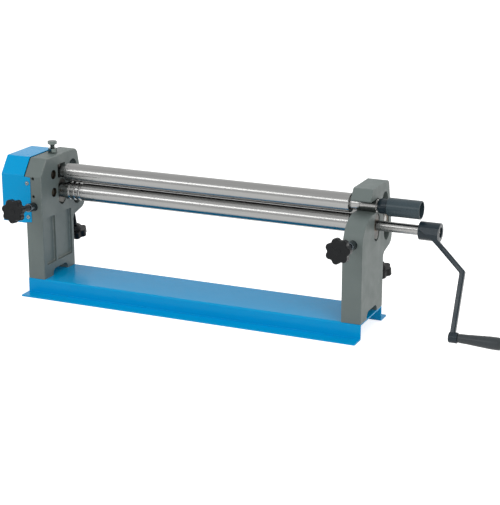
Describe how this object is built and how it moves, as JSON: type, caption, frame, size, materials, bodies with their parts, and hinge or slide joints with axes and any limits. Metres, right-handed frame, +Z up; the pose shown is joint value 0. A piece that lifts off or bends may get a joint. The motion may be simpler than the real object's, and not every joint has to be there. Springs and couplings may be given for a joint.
{
  "type": "slip roll machine",
  "caption": "Bench slip roll: cast side frames on a folded channel base, crank-driven lower roll, swing-out upper roll, rear bending roll on inclined slots, covered gear train, star knobs.",
  "frame": {"origin": "middle of the underside of the front foot flange, midway between the side frames", "axes": "+X along the rolls towards the crank, +Y from the operator to the rear, +Z up"},
  "size_m": [1.0715, 0.2756, 0.3115],
  "materials": {
    "frame_enamel": "grey enamel over a fine cast skin",
    "blue_enamel": "smooth satin enamel",
    "ground_steel": "turned and ground",
    "machined_steel": "machined",
    "gear_steel": "hobbed, lightly oiled",
    "zinc_steel": "zinc plated",
    "black_oxide": "black oxide",
    "bronze": "oiled bearing bronze",
    "dark_enamel": "satin enamel",
    "knob_plastic": "moulded, satin",
    "grip_plastic": "moulded, satin"
  },
  "bodies": {
    "stand": {"base_channel": "blue_enamel", "left_frame": "frame_enamel", "right_frame": "frame_enamel", "frame_bolts": "zinc_steel", "frame_washers": "zinc_steel", "gear_cover": "blue_enamel", "cover_screws": "zinc_steel", "idler_shafts": "machined_steel", "idler_set_screws": "black_oxide", "idler_clips": "black_oxide", "pivot_screw": "zinc_steel", "pivot_jam_nut": "zinc_steel", "screw_sleeves": "machined_steel"},
    "lower_idler": {"lower_idler_gear": "gear_steel", "lower_idler_bush": "bronze"},
    "upper_idler": {"upper_idler_gear": "gear_steel", "upper_idler_bush": "bronze"},
    "lower_carriage": {"lower_left_block": "machined_steel", "lower_right_block": "machined_steel"},
    "lower_bushes": {"lower_left_bush": "bronze", "lower_right_bush": "bronze"},
    "lower_roll": {"lower_roll": "ground_steel", "lower_roll_gear": "gear_steel", "lower_gear_key": "machined_steel", "lower_gear_clip": "black_oxide", "crank": "dark_enamel", "crank_set_screw": "black_oxide", "grip_pin": "machined_steel"},
    "grip": {"crank_grip": "grip_plastic"},
    "swivel": {"swivel_block": "machined_steel"},
    "upper_roll": {"upper_roll": "ground_steel", "upper_roll_gear": "gear_steel", "upper_gear_key": "machined_steel", "upper_gear_clip": "black_oxide", "handle_hub": "dark_enamel", "handle_tube": "dark_enamel"},
    "left_wedge": {"left_wedge_pin": "machined_steel"},
    "right_wedge": {"right_wedge_pin": "machined_steel"},
    "front_left_screw": {"front_left_screw": "black_oxide", "front_left_knob": "knob_plastic"},
    "front_right_screw": {"front_right_screw": "black_oxide", "front_right_knob": "knob_plastic"},
    "rear_carriage": {"rear_left_block": "machined_steel", "rear_left_bush": "bronze", "rear_right_block": "machined_steel", "rear_right_bush": "bronze"},
    "rear_roll": {"rear_roll": "ground_steel"},
    "rear_left_screw": {"rear_left_screw": "black_oxide", "rear_left_knob": "knob_plastic"},
    "rear_right_screw": {"rear_right_screw": "black_oxide", "rear_right_knob": "knob_plastic"}
  },
  "joints": [
    {"name": "lower_roll_lift", "type": "slide", "parent": "stand", "child": "lower_carriage", "axis": [0, 0, 1], "range_m": [-0.0025, 0.0012]},
    {"name": "lower_bush_turn", "type": "hinge", "parent": "lower_carriage", "child": "lower_bushes", "pos_m": [0, 0.098, 0.2085], "axis": [1, 0, 0], "range_deg": [-11.05, 5.32]},
    {"name": "crank_spin", "type": "hinge", "parent": "lower_bushes", "child": "lower_roll", "pos_m": [0, 0.098, 0.2085], "axis": [1, 0, 0], "continuous": true},
    {"name": "grip_spin", "type": "hinge", "parent": "lower_roll", "child": "grip", "pos_m": [0.6, 0.01622, 0.03313], "axis": [1, 0, 0], "continuous": true},
    {"name": "lower_idler_spin", "type": "hinge", "parent": "stand", "child": "lower_idler", "pos_m": [-0.385, 0.06591, 0.20925], "axis": [1, 0, 0], "continuous": true},
    {"name": "upper_idler_spin", "type": "hinge", "parent": "stand", "child": "upper_idler", "pos_m": [-0.385, 0.06591, 0.24725], "axis": [1, 0, 0], "continuous": true},
    {"name": "upper_roll_swing", "type": "hinge", "parent": "stand", "child": "swivel", "pos_m": [-0.3505, 0.098, 0.248], "axis": [0, 0, -1], "range_deg": [0, 9]},
    {"name": "upper_roll_spin", "type": "hinge", "parent": "swivel", "child": "upper_roll", "pos_m": [-0.3505, 0.098, 0.248], "axis": [1, 0, 0], "continuous": true},
    {"name": "left_wedge_slide", "type": "slide", "parent": "stand", "child": "left_wedge", "axis": [0, 0.9925, -0.1219], "range_m": [-0.0114, 0.00549]},
    {"name": "right_wedge_slide", "type": "slide", "parent": "stand", "child": "right_wedge", "axis": [0, 0.9925, -0.1219], "range_m": [-0.0114, 0.00549]},
    {"name": "front_left_knob_spin", "type": "hinge", "parent": "left_wedge", "child": "front_left_screw", "pos_m": [-0.3505, 0.016, 0.188], "axis": [0, 0.9925, -0.1219], "range_deg": [-2345, 1127]},
    {"name": "front_right_knob_spin", "type": "hinge", "parent": "right_wedge", "child": "front_right_screw", "pos_m": [0.3505, 0.016, 0.188], "axis": [0, 0.9925, -0.1219], "range_deg": [-2345, 1127]},
    {"name": "rear_roll_lift", "type": "slide", "parent": "stand", "child": "rear_carriage", "axis": [0, -0.225, 0.9744], "range_m": [-0.0189, 0.0329]},
    {"name": "rear_roll_spin", "type": "hinge", "parent": "rear_carriage", "child": "rear_roll", "pos_m": [0, 0.15358, 0.20486], "axis": [1, 0, 0], "continuous": true},
    {"name": "rear_left_knob_spin", "type": "hinge", "parent": "rear_carriage", "child": "rear_left_screw", "pos_m": [-0.3505, 0.15358, 0.20486], "axis": [0, -0.225, 0.9744], "range_deg": [-3895, 6775]},
    {"name": "rear_right_knob_spin", "type": "hinge", "parent": "rear_carriage", "child": "rear_right_screw", "pos_m": [0.3505, 0.15358, 0.20486], "axis": [0, -0.225, 0.9744], "range_deg": [-3895, 6775]}
  ],
  "couplings": [
    {"joint": "lower_idler_spin", "follows": "crank_spin", "ratio": -0.68421},
    {"joint": "upper_idler_spin", "follows": "crank_spin", "ratio": 0.68421},
    {"joint": "upper_roll_spin", "follows": "crank_spin", "ratio": -1},
    {"joint": "left_wedge_slide", "follows": "lower_roll_lift", "ratio": 4.5477},
    {"joint": "right_wedge_slide", "follows": "lower_roll_lift", "ratio": 4.5477},
    {"joint": "front_left_knob_spin", "follows": "lower_roll_lift", "rad_per_m": 16328},
    {"joint": "front_right_knob_spin", "follows": "lower_roll_lift", "rad_per_m": 16328},
    {"joint": "lower_bush_turn", "follows": "lower_roll_lift", "rad_per_m": 76.923},
    {"joint": "rear_left_knob_spin", "follows": "rear_roll_lift", "rad_per_m": 3590.4},
    {"joint": "rear_right_knob_spin", "follows": "rear_roll_lift", "rad_per_m": 3590.4}
  ]
}
